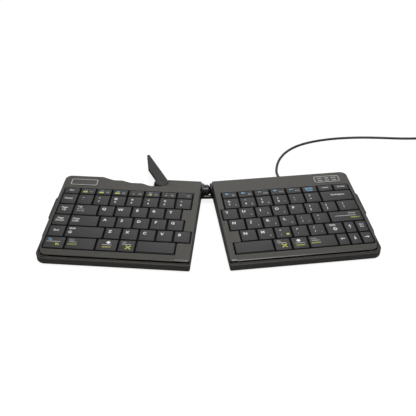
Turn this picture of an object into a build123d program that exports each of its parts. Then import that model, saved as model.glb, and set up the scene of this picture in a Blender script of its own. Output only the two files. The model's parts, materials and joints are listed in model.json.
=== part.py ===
"""Two-piece travel keyboard: two wedge-shaped halves on a lockable ball hinge at the rear.

Frames used below.
Deck frame of a half: the flat top of its case is z = 0, x = 0 is the inner side wall, y = 0 the rear
wall, x grows to the right for both halves, and the front of the case is at negative y.
Level frame of a half: the same x and y, with z = 0 on the desk.
Assembly frame: the hinge centre stands over x = y = 0, with z = 0 on the desk.
Everything is moved at the end so that the middle of the object's footprint is the origin.
"""

import os
from math import atan2, cos, degrees, pi, radians, sin, sqrt, tan

from build123d import *

# Key field
key_pitch = 18.0
key_gap = 0.6
key_taper_inset = 0.8
key_height = 3.2
key_proud = 0.8
key_wall = 1.1
key_roof = 1.2
key_travel = 2.0
stem_width = 3.6
stem_slack = 0.15
dome_base = 7.0
dome_inset = 1.4
dome_clearance = 0.1
first_cell_share = 0.45
cell_lead_share = 0.07
wide_key_share = 1.7
stabiliser_share = 0.34

# Case
case_width = 156.0
case_depth = 137.0
rear_height = 19.0
deck_slope = 3.05
wall = 1.4
top_skin = 1.6
top_skirt = 3.2
lip_inset = 0.4
floor_thickness = 1.4
ramp_drop = 2.0
inner_corner_radius = 1.8
rear_corner_radius = 7.5
front_corner_radius = 10.0
edge_radius = 0.7
keel_radius = 1.6
window_clearance = 0.5
window_corner = 3.0
rear_margin_share = 0.87
left_wall_share = 8.40
right_wall_share = -0.40
overrun = 1.0
slip = 0.2

# Inner stack under the keys, measured down from the deck
frame_plate_depth = 4.6
frame_plate = 1.2
frame_bottom = 8.0
frame_rim = 0.8
dome_sheet = 0.4
back_plate = 0.6
rib_width = 1.6

# Feet and screws
foot_height = 1.0
foot_radius = 4.5
foot_recess = 0.4
foot_inset = 14.0
screw_radius = 1.0
screw_head_radius = 2.0
screw_head = 1.2
screw_recess = 1.6
screw_bite = 1.5
boss_radius = 3.0
left_screw_share = 0.62
right_screw_share = 0.26
rib_shares = (0.14, 0.38, 0.62, 0.86)

# Hinge
half_splay = 6.2
hinge_reach = 6.0
hinge_inset = 7.2
hinge_height = 11.6
ball_radius = 5.2
ball_fit = 0.1
barrel_radius = 6.4
barrel_core_radius = 5.2
barrel_length = 22.0
mouth_depth = 2.0
collar_radius = 7.7
collar_height = 2.0
collar_bore = 6.5
tongue_thickness = 2.6
tongue_height = 3.6
eye_radius = 2.8
pin_radius = 1.0
pin_length = 9.8
pin_fit = 0.05
slot_side_gap = 0.15
slot_back = 3.2
anchor_length = 14.0
anchor_width = 10.2
anchor_ear = 5.0
anchor_plate = 2.0

# Lever and clamp
lever_place = (-45.3, -4.8)
lever_hub_radius = 7.2
lever_straight_side = 7.2
lever_taper_side = 4.5
lever_length = 57.0
lever_kink = 31.0
lever_tip_radius = 1.5
lever_blend = 3.0
lever_thickness = 3.4
lever_proud = 0.4
lever_open_angle = 120.0
lever_swing = 58.0
hub_depth = 5.2
hub_gap = 0.6
cup_wall = 1.2
cup_floor = 1.2
peg_width = 3.2
peg_height = 3.2
shaft_radius = 2.5
shaft_fit = 0.05
cam_radius = 2.8
cam_height = 3.0
cam_offset = 0.5
cam_gap = 0.4
fork_fit = 0.1
fork_half_length = 5.6
fork_height = 2.4
rod_radius = 2.2
rod_fit = 0.1
clamp_gap = 0.6

# Lever recess in the rear edge, measured from the inner wall and the rear edge
recess_shallow = 5.0
recess_middle = 8.6
recess_deep = 12.6
recess_start = 113.0
recess_end = 100.0
recess_widens = 90.0
recess_widened = 80.0
recess_deepens = 67.0
recess_deepened = 58.0
recess_blend = 6.0

# Side catch, badge plate and indicator panel
catch_length = 36.0
catch_start = 41.0
catch_proud = 1.2
catch_height = 5.0
catch_depth = 1.0
catch_root = 0.8
plate_size = (27.6, 11.6)
plate_radius = 2.2
plate_thickness = 0.6
plate_proud = 0.15
badge_place_shares = (1.10, -0.15)
panel_place_shares = (6.85, -0.15)
lens_size = (3.2, 1.4)
lens_spacing = 7.6
lens_depth = 9.0
lens_offset = 2.2

# Link cable between the halves
link_radius = 1.3
link_belly_radius = 2.3
link_drop = 4.6
link_forward = 8.6
link_entry = 5.0

# Boards
board_thickness = 1.2
board_height = 7.0
controller_start = 56.0
controller_length = 86.0
controller_rear = 9.0
controller_depth = 9.0
matrix_start = 58.0
matrix_length = 26.0
matrix_rear = 15.0
matrix_depth = 6.2
post_radius = 2.0
chip_size = (9.0, 5.0, 1.4)
led_size = (1.6, 1.2, 0.8)
controller_chip_shares = (0.25, 0.5)
matrix_chip_shares = (0.5,)

# Cord: its route is given in the assembly frame
cord_radius = 1.5
boot_length = 14.0
boot_radius = 3.2
boot_tip_radius = 2.1
boot_tip_length = 1.6
boot_flange_radius = 4.4
boot_flange = 1.4
cord_exit_reach = 81.0
cord_exit_height = 8.0
cord_lead = 10.0
arc_reach_share = 0.45
cord_route = [
    (84.3, 50.0, 3.2),
    (85.5, 60.0, 1.5),
    (87.8, 71.0, 1.5),
    (92.0, 82.5, 1.5),
    (98.4, 94.0, 1.5),
    (107.0, 104.4, 1.5),
    (118.0, 113.4, 1.5),
    (132.5, 121.0, 1.5),
    (151.0, 127.0, 1.5),
    (174.0, 131.2, 1.5),
    (200.0, 132.6, 1.5),
    (226.0, 131.2, 1.5),
    (250.0, 128.6, 1.5),
    (268.0, 127.5, 1.8),
    (282.5, 127.0, 2.4),
]
coil_centre = (298.0, 105.6)
coil_outer_radius = 21.4
coil_layer_turns = 2.75
coil_turns = 11.25
coil_layers = 4
coil_pitch = 3.5
coil_lift = 0.9
tie_width = 8.0
tie_thickness = 0.6
tie_clearance = 0.2
tail_runs = [(0.0, 9.0, 0.0), (0.8, 9.5, 4.3), (1.4, 10.0, 3.9), (0.6, 9.5, 0.7), (0.2, 9.0, 0.0)]
plug_axis_height = 4.0
plug_grip_size = (22.0, 13.0, 8.0)
plug_grip_edge = 2.4
plug_shell_size = (15.0, 12.0, 4.5)
plug_shell_edge = 0.8
plug_shell_wall = 0.4
plug_tongue_height = 1.9

# Key rows: row number, then (start, width) in key pitches from the left end of the half's field
left_key_shares = {
    "left_function_keys": (1, [(0, 1), (1, 1), (2, 1), (3, 1), (4, 1), (5, 1), (6, 1), (7, 1)]),
    "left_number_keys": (2, [(1, 1), (2, 1), (3, 1), (4, 1), (5, 1), (6, 1), (7, 1)]),
    "left_tab_key": (3, [(1, 1.5)]),
    "left_upper_keys": (3, [(2.5, 1), (3.5, 1), (4.5, 1), (5.5, 1), (6.5, 1)]),
    "left_caps_key": (4, [(1, 1.75)]),
    "left_middle_keys": (4, [(2.75, 1), (3.75, 1), (4.75, 1), (5.75, 1), (6.75, 1)]),
    "left_shift_key": (5, [(1, 2.25)]),
    "left_lower_keys": (5, [(3.25, 1), (4.25, 1), (5.25, 1), (6.25, 1), (7.25, 1)]),
    "left_modifier_keys": (6, [(0, 1.25), (1.25, 1.75), (3, 1.25), (4.25, 1)]),
    "left_space_key": (6, [(5.25, 2.25)]),
}
right_key_shares = {
    "right_function_keys": (1, [(0, 1), (1, 1), (2, 1), (3, 1), (4, 1), (5, 1), (6, 1), (7, 1)]),
    "right_number_keys": (2, [(0, 1), (1, 1), (2, 1), (3, 1), (4, 1), (5, 1)]),
    "right_backspace_key": (2, [(6, 2)]),
    "right_upper_keys": (3, [(-0.25, 1), (0.75, 1), (1.75, 1), (2.75, 1), (3.75, 1), (4.75, 1), (5.75, 1)]),
    "right_backslash_key": (3, [(6.75, 1.25)]),
    "right_middle_keys": (4, [(0, 1), (1, 1), (2, 1), (3, 1), (4, 1), (5, 1)]),
    "right_enter_key": (4, [(6, 2)]),
    "right_lower_keys": (5, [(0.5, 1), (1.5, 1), (2.5, 1), (3.5, 1), (4.5, 1)]),
    "right_shift_key": (5, [(5.5, 1.1)]),
    "right_modifier_keys": (6, [(2.25, 1), (3.25, 1), (4.25, 1.65)]),
    "right_space_key": (6, [(0, 2.25)]),
}
# Groups that run over more than one row: (row, start, width)
left_navigation_shares = [(2, 0, 1), (3, 0, 1), (4, 0, 1), (5, 0, 1)]
right_arrow_shares = [(5, 6.6, 0.7), (5, 7.3, 0.7), (6, 5.9, 0.7), (6, 6.6, 0.7), (6, 7.3, 0.7)]
# Where each row of the key field ends beside the inner wall, rows 1 to 6
left_row_end_shares = [8.0, 8.0, 7.5, 7.75, 8.25, 7.5]
right_row_end_shares = [0.0, 0.0, -0.25, 0.0, 0.5, 0.0]
field_outer_shares = (0.0, 8.0)

LEFT = -1
RIGHT = 1


def deck(shape):
    """Tilt a shape from the deck frame into the level frame."""
    return Pos(0, 0, rear_height) * Rot(deck_slope, 0, 0) * shape


def half_place(side):
    """Location of a half's level frame in the assembly frame."""
    return Rot(0, 0, side * half_splay) * Pos(side * hinge_reach, hinge_inset, 0)


def block(x_range, y_range, z_range):
    """Box between two corners."""
    low = [min(x_range), min(y_range), min(z_range)]
    high = [max(x_range), max(y_range), max(z_range)]
    sizes = [b - a for a, b in zip(low, high)]
    middle = [(a + b) / 2 for a, b in zip(low, high)]
    return Pos(*middle) * Box(*sizes)


def x_rod(radius, x_start, x_end, y, z):
    """Cylinder along X."""
    return Pos((x_start + x_end) / 2, y, z) * Rot(0, 90, 0) * Cylinder(radius, abs(x_end - x_start))


def post(radius, x, y, z_low, z_high):
    """Cylinder along Z between two heights."""
    return Pos(x, y, (z_low + z_high) / 2) * Cylinder(radius, z_high - z_low)


def y_rod(radius, x, y_start, y_end, z):
    """Cylinder along Y."""
    return Pos(x, (y_start + y_end) / 2, z) * Rot(90, 0, 0) * Cylinder(radius, abs(y_end - y_start))


def pillar(x, y, width, depth, z_high, z_low):
    """Upright bar round a place."""
    return block((x - width / 2, x + width / 2), (y - depth / 2, y + depth / 2), (z_low, z_high))


def slab(z_low, z_high):
    """Everything of a half between two heights."""
    reach = 2 * case_width
    return block((-reach, reach), (-reach, reach), (z_low, z_high))


def prism(face, z_high, z_low):
    """Sketch pulled down from one height to another."""
    return extrude(Pos(0, 0, z_low) * face, amount=z_high - z_low)


def nearest(face, x, y):
    """Corner of a sketch that lies nearest a point."""
    return min(face.vertices(), key=lambda v: (v.X - x) ** 2 + (v.Y - y) ** 2)


def pitch_x(side, place_share):
    """Deck x of a place in the key field, counted in key pitches."""
    wall_share = left_wall_share if side == LEFT else right_wall_share
    return (place_share - wall_share) * key_pitch


def pitch_y(row_share):
    """Deck y of a place in the key field, counted in key pitches from its rear."""
    return -(row_share + rear_margin_share) * key_pitch


def row_range(row):
    """Rear and front edge of a row of key cells, in deck y."""
    rear_share = first_cell_share if row == 1 else row - 1 + cell_lead_share
    return pitch_y(rear_share), pitch_y(row + cell_lead_share)


# Case shells
def recess_face():
    """Plan of the recess in the rear edge that the closed lever fills."""
    lead = (recess_start - recess_end) * overrun / recess_shallow
    points = [
        (lever_place[0], overrun),
        (-recess_start - lead, overrun),
        (-recess_end, -recess_shallow),
        (-recess_widens, -recess_shallow),
        (-recess_widened, -recess_middle),
        (-recess_deepens, -recess_middle),
        (-recess_deepened, -recess_deep),
        (lever_place[0], -recess_deep),
    ]
    face = make_face(Polyline(*points, close=True))
    for x, y in points[2:7]:
        face = fillet(nearest(face, x, y), recess_blend)
    return face


def half_outline(side, with_recess):
    """Plan of a half of the case."""
    face = Pos(side * case_width / 2, -case_depth / 2) * Rectangle(case_width, case_depth)
    face = fillet(nearest(face, 0, 0), inner_corner_radius)
    face = fillet(nearest(face, 0, -case_depth), inner_corner_radius)
    face = fillet(nearest(face, side * case_width, 0), rear_corner_radius)
    face = fillet(nearest(face, side * case_width, -case_depth), front_corner_radius)
    if with_recess:
        face = face - recess_face()
        face = fillet(nearest(face, -recess_start, 0), recess_blend)
    return face


def window_face(side):
    """Plan of the key window: its inner side steps in and out with the ends of the rows."""
    ends = left_row_end_shares if side == LEFT else right_row_end_shares
    outer = pitch_x(side, field_outer_shares[0 if side == LEFT else 1]) + side * window_clearance
    points = [(outer, row_range(1)[0] + window_clearance)]
    for row, end in enumerate(ends, start=1):
        rear, front = row_range(row)
        x = pitch_x(side, end) - side * window_clearance
        grow_rear = row > 1 and side * (end - ends[row - 2]) < 0
        grow_front = row < len(ends) and side * (ends[row] - end) > 0
        rear_edge = rear + (window_clearance if row == 1 or grow_rear else -window_clearance)
        front_edge = front - (window_clearance if row == len(ends) or grow_front else -window_clearance)
        if row > 1 and end == ends[row - 2]:
            points.pop()
        else:
            points.append((x, rear_edge))
        points.append((x, front_edge))
    points.append((outer, row_range(len(ends))[1] - window_clearance))
    face = make_face(Polyline(*points, close=True))
    for x, y in (points[0], points[-1]):
        face = fillet(nearest(face, x, y), window_corner)
    return face


def frame_rear():
    return row_range(1)[0] + window_clearance + frame_rim + slip


def frame_front():
    return row_range(6)[1] - window_clearance - frame_rim - slip


def screw_places(side):
    """Screws that hold the two shells of a half together."""
    rear = -(wall + boss_radius + foot_inset / 2)
    front = -(case_depth - wall - boss_radius)
    far = case_width - rear_corner_radius
    middle = case_width * (left_screw_share if side == LEFT else right_screw_share)
    places = [(far, rear), (middle, rear - boss_radius), (far - boss_radius, front)]
    places += [(case_width / 2, front), (inner_corner_radius + boss_radius + wall, front)]
    return [(side * x, y) for x, y in places]


def deck_height(y):
    """Height of the deck plane over the desk."""
    return rear_height + y * tan(radians(deck_slope))


def collar(side):
    """Rim round the hinge opening on the inner wall."""
    ring = x_rod(collar_radius, -side * collar_height, side * wall, -hinge_inset, hinge_height)
    keep = block((-side * collar_height, side * wall), (-case_depth, -lip_inset), (0, 2 * rear_height))
    return ring & (keep - deck(slab(-lip_inset, rear_height)))


def hinge_bore(side):
    return x_rod(collar_bore, -side * 2 * collar_height, side * (wall + overrun), -hinge_inset, hinge_height)


def catch_slot(side):
    """Pocket in the outer wall that the catch sits in."""
    outer = side * case_width
    return block(
        (outer - side * catch_root, outer + side * overrun),
        (-catch_start, -catch_start - catch_length),
        (-catch_depth, -catch_depth - catch_height),
    )


def plate_face(place_shares, side, shrink):
    x = pitch_x(side, place_shares[0])
    y = pitch_y(place_shares[1])
    width = plate_size[0] - 2 * shrink
    depth = plate_size[1] - 2 * shrink
    return Pos(x, y) * RectangleRounded(width, depth, plate_radius - shrink)


def lens_places(side):
    x = pitch_x(side, panel_place_shares[0])
    y = pitch_y(panel_place_shares[1]) + lens_offset
    return [(x + step * lens_spacing, y) for step in (-1, 0, 1)]


def lever_tray():
    """Pocket of the upper shell that the lever's hub turns in, with a bearing in its floor."""
    reach = lever_hub_radius + hub_gap
    x, y = lever_place
    cup_depth = hub_depth + hub_gap
    body = block(
        (x - reach + slip, x + reach + cup_wall),
        (-recess_deep - cup_wall, -wall - slip),
        (-top_skin, -cup_depth - cup_floor),
    )
    return body - post(shaft_radius + shaft_fit, x, y, -2 * cup_depth, 0)


def lever_space():
    """Room for the hub and the root of the lever."""
    x, y = lever_place
    cup_depth = hub_depth + hub_gap
    return post(lever_hub_radius + hub_gap, x, y, -cup_depth, overrun) + prism(recess_face(), overrun, -cup_depth)


def top_shell(side):
    """Upper shell: bezel with the key window, front ramp and a skirt all round."""
    outline = offset(half_outline(side, side == LEFT), amount=-lip_inset)
    body = prism(outline, 0, -top_skirt)
    body = fillet(body.faces().sort_by(Axis.Z)[-1].edges(), edge_radius)
    inner = offset(half_outline(side, side == LEFT), amount=-wall - lip_inset)
    field = block(
        (side * wall, side * (case_width - wall)),
        (frame_front() - slip, overrun),
        (-top_skin, -rear_height),
    )
    body -= prism(inner, -top_skin, -top_skirt - overrun) & field
    if side == LEFT:
        body = body + lever_tray()
        body -= lever_space()
    body -= prism(window_face(side), overrun, -top_skirt - overrun)
    # The strip in front of the keys falls away to the front, up to a flat corner beside the inner wall
    ramp_rear = frame_front() - slip
    ramp_side = pitch_x(side, (left_row_end_shares if side == LEFT else right_row_end_shares)[-1])
    drop = [
        (ramp_rear, 0),
        (-case_depth - overrun, -ramp_drop * (case_depth + overrun + ramp_rear) / (case_depth + ramp_rear)),
        (-case_depth - overrun, overrun),
        (ramp_rear, overrun),
    ]
    wedge = make_face(Polyline(*[(0, y, z) for y, z in drop], close=True))
    far = side * (case_width + overrun)
    body -= Pos(ramp_side, 0, 0) * extrude(wedge, amount=abs(far - ramp_side), dir=(side, 0, 0))
    body -= catch_slot(side)
    for x, y in screw_places(side):
        if y > frame_front():
            body += post(boss_radius - slip, x, y, -top_skirt, -top_skin)
    shares = badge_place_shares if side == LEFT else panel_place_shares
    pocket = plate_thickness - plate_proud
    body -= prism(plate_face(shares, side, 0), overrun, -pocket)
    if side == RIGHT:
        for x, y in lens_places(side):
            body -= pillar(x, y, lens_size[0], lens_size[1], overrun, -top_skirt)
    body = deck(body) + (collar(side) & deck(slab(-top_skirt, rear_height)))
    for x, y in screw_places(side):
        body -= post(screw_radius, x, y, 0, deck_height(y) - top_skirt + screw_bite)
    return body - hinge_bore(side)


def bottom_shell(side):
    """Lower shell: wedge-shaped tray with screw posts and ribs under the key stack."""
    outline = half_outline(side, False)
    if side == LEFT:
        edge = lever_place[0] - lever_hub_radius - hub_gap - wall
        outline -= recess_face() - Pos(edge + case_width / 2, 0) * Rectangle(case_width, 2 * case_depth)
        outline = fillet(nearest(outline, -recess_start, 0), recess_blend)
    deep = -2 * rear_height
    body = deck(prism(outline, -top_skirt, deep)) - slab(deep, foot_height)
    body = fillet(body.faces().sort_by(Axis.Z)[0].edges(), keel_radius)
    hollow = deck(prism(offset(outline, amount=-wall), -top_skirt + overrun, deep))
    hollow -= slab(deep, foot_height + floor_thickness)
    stack_room = deck(slab(-frame_bottom - dome_sheet - back_plate, rear_height))
    low = foot_height + slip
    for x, y in screw_places(side):
        hollow -= post(boss_radius, x, y, low, rear_height) - deck(slab(-top_skirt, rear_height))
    for share in rib_shares:
        x = side * case_width * share
        span = (frame_front() + foot_inset / 2, frame_rear() - foot_inset / 2)
        hollow -= block((x - rib_width / 2, x + rib_width / 2), span, (low, rear_height)) - stack_room
    hollow -= board_posts(side)
    body -= hollow
    for x, y in screw_places(side):
        body -= post(screw_radius + slip / 2, x, y, 0, rear_height)
        body -= post(screw_head_radius + slip, x, y, 0, foot_height + screw_recess)
    for x, y in anchor_holes(side):
        body -= post(screw_radius, x, y, foot_height + slip, rear_height / 2)
    for x, y in foot_places(side):
        body -= post(foot_radius, x, y, 0, foot_height + foot_recess)
    body += collar(side) & deck(slab(deep, -top_skirt))
    body -= hinge_bore(side)
    # Hole that the link cable comes through, square to the inner wall
    link_y = -hinge_inset - link_forward / cos(radians(half_splay)) - hinge_reach * tan(radians(half_splay))
    body -= x_rod(link_radius + 2 * slip, -side * wall, side * 2 * wall, link_y, hinge_height - link_drop)
    body -= deck(catch_slot(side))
    if side == LEFT:
        x, y = lever_place
        return body - deck(post(lever_hub_radius + hub_gap, x, y, -hub_depth - hub_gap, 0))
    return body - y_rod(boot_radius, cord_exit_reach, -2 * wall, overrun, cord_exit_height)


def foot_places(side):
    near = foot_inset
    far = case_width - foot_inset
    return [(side * x, -y) for x in (near, far) for y in (near + foot_radius, case_depth - near)]


def feet(side):
    places = foot_places(side)
    return [post(foot_radius, x, y, 0, foot_height + foot_recess) for x, y in places]


def screw(x, y, z_head, z_tip):
    """Screw with its head down."""
    head = post(screw_head_radius, x, y, z_head, z_head + screw_head)
    shank = post(screw_radius, x, y, z_head + screw_head, z_tip)
    return head + shank


def case_screws(side):
    head_low = foot_height + screw_recess - screw_head
    made = []
    for x, y in screw_places(side):
        tip = deck_height(y) - top_skirt + screw_bite - slip
        made.append(screw(x, y, head_low, tip))
    for x, y in anchor_holes(side):
        top = foot_height + floor_thickness + anchor_plate
        head = post(screw_head_radius, x, y, top, top + screw_head)
        made.append(head + post(screw_radius, x, y, foot_height + slip, top))
    return made


def side_catch(side):
    """Catch on the outer wall, with sloping ends."""
    outer = side * case_width
    root = outer - side * catch_root
    face = outer + side * catch_proud
    rear = -catch_start
    front = -catch_start - catch_length
    points = [(root, rear), (outer, rear), (face, rear - 2 * catch_proud)]
    points += [(face, front + catch_proud), (outer, front), (root, front)]
    return deck(prism(make_face(Polyline(*points, close=True)), -catch_depth, -catch_depth - catch_height))


# Key stack
def key_list(side):
    """All keys of a half as node name and (row, start, width)."""
    table = left_key_shares if side == LEFT else right_key_shares
    keys = {name: [(row, start, width) for start, width in cells] for name, (row, cells) in table.items()}
    if side == LEFT:
        keys["left_navigation_keys"] = list(left_navigation_shares)
    else:
        keys["right_arrow_keys"] = list(right_arrow_shares)
    return keys


def key_cell(side, key):
    """Centre and size of a key's cell in the deck frame."""
    row, start, width = key
    rear, front = row_range(row)
    x = (pitch_x(side, start) + pitch_x(side, start + width)) / 2
    return x, (rear + front) / 2, width * key_pitch, rear - front


def stem_places(side, key):
    """Stems of a key: one, and a guide stem each side of it on a wide key."""
    x, y, width, _ = key_cell(side, key)
    if key[2] < wide_key_share:
        return [(x, y)]
    return [(x, y), (x - width * stabiliser_share, y), (x + width * stabiliser_share, y)]


def key_cap(side, key):
    """Hollow cap with sloping sides and its stems."""
    x, y, width, depth = key_cell(side, key)
    base = key_proud - key_height
    taper = degrees(atan2(key_taper_inset, key_height))
    cap = Pos(x, y, base) * extrude(Rectangle(width - key_gap, depth - key_gap), amount=key_height, taper=taper)
    room = Rectangle(width - key_gap - 2 * key_wall, depth - key_gap - 2 * key_wall)
    cap -= Pos(x, y, base) * extrude(room, amount=key_height - key_roof, taper=taper)
    for stem_x, stem_y in stem_places(side, key):
        foot = -frame_plate_depth - frame_plate
        cap += pillar(stem_x, stem_y, stem_width, stem_width, key_proud - key_roof, foot)
    return deck(cap)


def frame_box(side, margin):
    """Plan range of the key frame."""
    inner = side * (wall + lip_inset + slip + margin)
    outer = side * (case_width - wall - lip_inset - slip - margin)
    return (inner, outer), (frame_front() + margin, frame_rear() - margin)


def key_frame(side):
    """Tray-shaped frame that guides the key stems, with a rim up to the bezel."""
    x_range, y_range = frame_box(side, 0)
    x_inside, y_inside = frame_box(side, frame_rim)
    body = block(x_range, y_range, (-top_skin, -frame_bottom))
    body -= block(x_inside, y_inside, (overrun, -frame_plate_depth))
    body -= block(x_inside, y_inside, (-frame_plate_depth - frame_plate, -frame_bottom - overrun))
    width = stem_width + 2 * stem_slack
    holes = []
    for keys in key_list(side).values():
        for key in keys:
            for x, y in stem_places(side, key):
                holes.append(pillar(x, y, width, width, 0, -frame_bottom))
    return deck(body - holes)


def dome_layer(side):
    """Rubber sheet with a dome under every key."""
    x_range, y_range = frame_box(side, 0)
    sheet = block(x_range, y_range, (-frame_bottom, -frame_bottom - dome_sheet))
    dome_height = frame_bottom - frame_plate_depth - frame_plate - dome_clearance
    dome = extrude(Rectangle(dome_base, dome_base), amount=dome_height, taper=degrees(atan2(dome_inset, dome_height)))
    domes = []
    for keys in key_list(side).values():
        for key in keys:
            x, y, _, _ = key_cell(side, key)
            domes.append(Pos(x, y, -frame_bottom) * dome)
    return deck(sheet + domes)


def back_plate_layer(side):
    x_range, y_range = frame_box(side, 0)
    top = -frame_bottom - dome_sheet
    return deck(block(x_range, y_range, (top, top - back_plate)))


# Hinge
def hinge_centre(side):
    """Hinge centre in the level frame of a half."""
    return -side * hinge_reach, -hinge_inset, hinge_height


def anchor_range(side):
    start = side * (wall + anchor_ear)
    return start, start + side * anchor_length


def anchor_holes(side):
    start, end = anchor_range(side)
    y = -hinge_inset - anchor_width / 2 - anchor_ear / 2
    inset = screw_head_radius + slip
    return [(start + side * inset, y), (end - side * inset, y)]


def anchor(side, top):
    """Foot that ties the barrel or the tongue to the floor of its half."""
    x_range = anchor_range(side)
    low = foot_height + floor_thickness
    rear = -hinge_inset + anchor_width / 2
    front = -hinge_inset - anchor_width / 2
    body = block(x_range, (front, rear), (low, top))
    body += block(x_range, (front - anchor_ear, rear), (low, low + anchor_plate))
    for x, y in anchor_holes(side):
        body -= post(screw_radius, x, y, 0, rear_height)
    return body


def socket_barrel():
    """Barrel fixed in the left half, with a round mouth that holds the ball."""
    x, y, z = hinge_centre(LEFT)
    body = x_rod(barrel_core_radius, -barrel_length, slip - wall, y, z)
    body += x_rod(barrel_radius, -wall, x, y, z)
    body += Pos(x, y, z) * Sphere(barrel_radius)
    body += anchor(LEFT, z)
    body -= x_rod(rod_radius + rod_fit, -barrel_length - overrun, x, y, z)
    body -= Pos(x, y, z) * Sphere(ball_radius + ball_fit)
    reach = 2 * barrel_radius
    body -= block((x + mouth_depth, x + reach), (y - reach, y + reach), (z - reach, z + reach))
    return body


def pivot_ball():
    """Ball with a slot for the tongue and a cross bore for the pin, centred on the origin."""
    half_slot = tongue_thickness / 2 + slot_side_gap
    reach = 2 * ball_radius
    ball = Sphere(ball_radius)
    ball -= block((-slot_back, reach), (-half_slot, half_slot), (-reach, reach))
    return ball - Rot(90, 0, 0) * Cylinder(pin_radius, 2 * reach)


def pivot_pin():
    return Rot(90, 0, 0) * Cylinder(pin_radius, pin_length)


def hinge_tongue():
    """Tongue fixed in the right half, with an eye on the ball's pin."""
    x, y, z = hinge_centre(RIGHT)
    half = tongue_thickness / 2
    start, end = anchor_range(RIGHT)
    eye = Pos(x, y, z) * Rot(90, 0, 0) * Cylinder(eye_radius, tongue_thickness)
    neck = block((x, start + overrun), (y - half, y + half), (z - tongue_height / 2, z + tongue_height / 2))
    root = x_rod(barrel_core_radius, wall + slip, start + overrun, y, z)
    body = eye + neck + root + anchor(RIGHT, z + tongue_height)
    return body - Pos(x, y, z) * Rot(90, 0, 0) * Cylinder(pin_radius + pin_fit, 2 * tongue_thickness)


# Lever and clamp, in the left half's deck frame
def lock_lever():
    """Flat lever on a round hub: one long side straight, the other cut back to the tip."""
    tip_side = -lever_straight_side + 2 * lever_tip_radius
    points = [
        (0, -lever_straight_side),
        (lever_length, -lever_straight_side),
        (lever_length, tip_side),
        (lever_kink, lever_taper_side),
        (0, lever_taper_side),
    ]
    arm = make_face(Polyline(*points, close=True))
    arm = fillet(nearest(arm, lever_length, -lever_straight_side), lever_tip_radius)
    arm = fillet(nearest(arm, lever_length, tip_side), lever_tip_radius * cos(pi / 4))
    arm = fillet(nearest(arm, lever_kink, lever_taper_side), lever_blend)
    outline = arm + Circle(lever_hub_radius)
    joint_x = sqrt(lever_hub_radius**2 - lever_taper_side**2)
    outline = fillet(nearest(outline, joint_x, lever_taper_side), lever_blend)
    x, y = lever_place
    top = lever_proud
    blade = prism(outline, top, top - lever_thickness)
    body = blade + post(lever_hub_radius, 0, 0, -hub_depth, top - lever_thickness)
    body = Rot(0, 0, lever_open_angle) * fillet(body.faces().sort_by(Axis.Z)[-1].edges(), edge_radius)
    body -= pillar(0, 0, peg_width, peg_width, -hub_depth + peg_height, -hub_depth - overrun)
    body -= post(screw_radius, 0, 0, -hub_depth, top + overrun)
    body -= post(screw_head_radius + slip, 0, 0, top - screw_head, top + overrun)
    return deck(Pos(x, y, 0) * body)


def lever_screw():
    """Screw that holds the lever on the cam's peg, head up."""
    x, y = lever_place
    seat = lever_proud - screw_head
    head = post(screw_head_radius, x, y, seat, seat + screw_head - slip)
    return deck(head + post(screw_radius, x, y, -hub_depth - cam_gap, seat))


def cam_place():
    """Middle of the cam in the deck frame, with the lever open."""
    angle = radians(-90 - lever_swing / 2)
    return lever_place[0] + cam_offset * cos(angle), lever_place[1] + cam_offset * sin(angle)


def clamp_cam():
    """Shaft under the lever with a round cam set off its axis."""
    x, y = lever_place
    top = -hub_depth - hub_gap - cup_floor - cam_gap
    body = pillar(x, y, peg_width, peg_width, -hub_depth + peg_height, -hub_depth)
    body += post(shaft_radius, x, y, top, -hub_depth)
    body += post(cam_radius, *cam_place(), top - cam_height, top)
    body -= post(screw_radius, x, y, -hub_depth - cam_gap, 0)
    return deck(body)


def clamp_pusher():
    """Fork round the cam and the rod that it pushes against the ball."""
    cam_x, cam_y = cam_place()
    cam_top = hub_depth + hub_gap + cup_floor + cam_gap
    middle = deck_height(cam_y) - cam_top - cam_height / 2
    half = cam_radius + fork_fit
    x, y, z = hinge_centre(LEFT)
    rod_start = lever_place[0] + lever_hub_radius + hub_gap + cup_wall + 2 * slip
    fork_x = (cam_x - fork_half_length, rod_start + 2 * fork_half_length / 3)
    front = cam_y - half - fork_half_length * 0.7
    levels = (middle - fork_height / 2, middle + fork_height / 2)
    body = block(fork_x, (front, lever_place[1] + half - slip), levels)
    body -= block((cam_x - half, cam_x + half), (cam_y - cam_radius - 2 * slip, 0), (0, rear_height))
    tip = x - ball_radius - clamp_gap + cam_radius / 2
    body += x_rod(rod_radius, rod_start, tip, y, z)
    return body - Pos(x - clamp_gap, y, z) * Sphere(ball_radius)


# Badge plate, indicators and boards
def badge_plate():
    pocket = plate_thickness - plate_proud
    face = plate_face(badge_place_shares, LEFT, 0)
    return deck(prism(face, plate_proud, -pocket))


def indicator_panel():
    pocket = plate_thickness - plate_proud
    body = prism(plate_face(panel_place_shares, RIGHT, 0), plate_proud, -pocket)
    for lens in lens_blocks():
        body -= lens
    return deck(body)


def lens_blocks():
    return [pillar(x, y, lens_size[0], lens_size[1], plate_proud, -lens_depth) for x, y in lens_places(RIGHT)]


def board_box(side):
    """Plan range of a half's circuit board."""
    if side == LEFT:
        return (-matrix_start - matrix_length, -matrix_start), (-matrix_rear - matrix_depth, -matrix_rear)
    rear = -controller_rear
    return (controller_start, controller_start + controller_length), (rear - controller_depth, rear)


def board_posts(side):
    """Posts of the lower shell that a board rests on."""
    (low_x, high_x), y_range = board_box(side)
    y = sum(y_range) / 2
    inset = 3 * post_radius
    return [post(post_radius, x, y, foot_height + slip, board_height) for x in (low_x + inset, high_x - inset)]


def board(side, chip_shares):
    """Circuit board with its chips."""
    x_range, y_range = board_box(side)
    top = board_height + board_thickness
    body = block(x_range, y_range, (board_height, top))
    for share in chip_shares:
        x = x_range[0] + (x_range[1] - x_range[0]) * share
        body += pillar(x, sum(y_range) / 2, chip_size[0], chip_size[1], top + chip_size[2], top)
    return body


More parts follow.
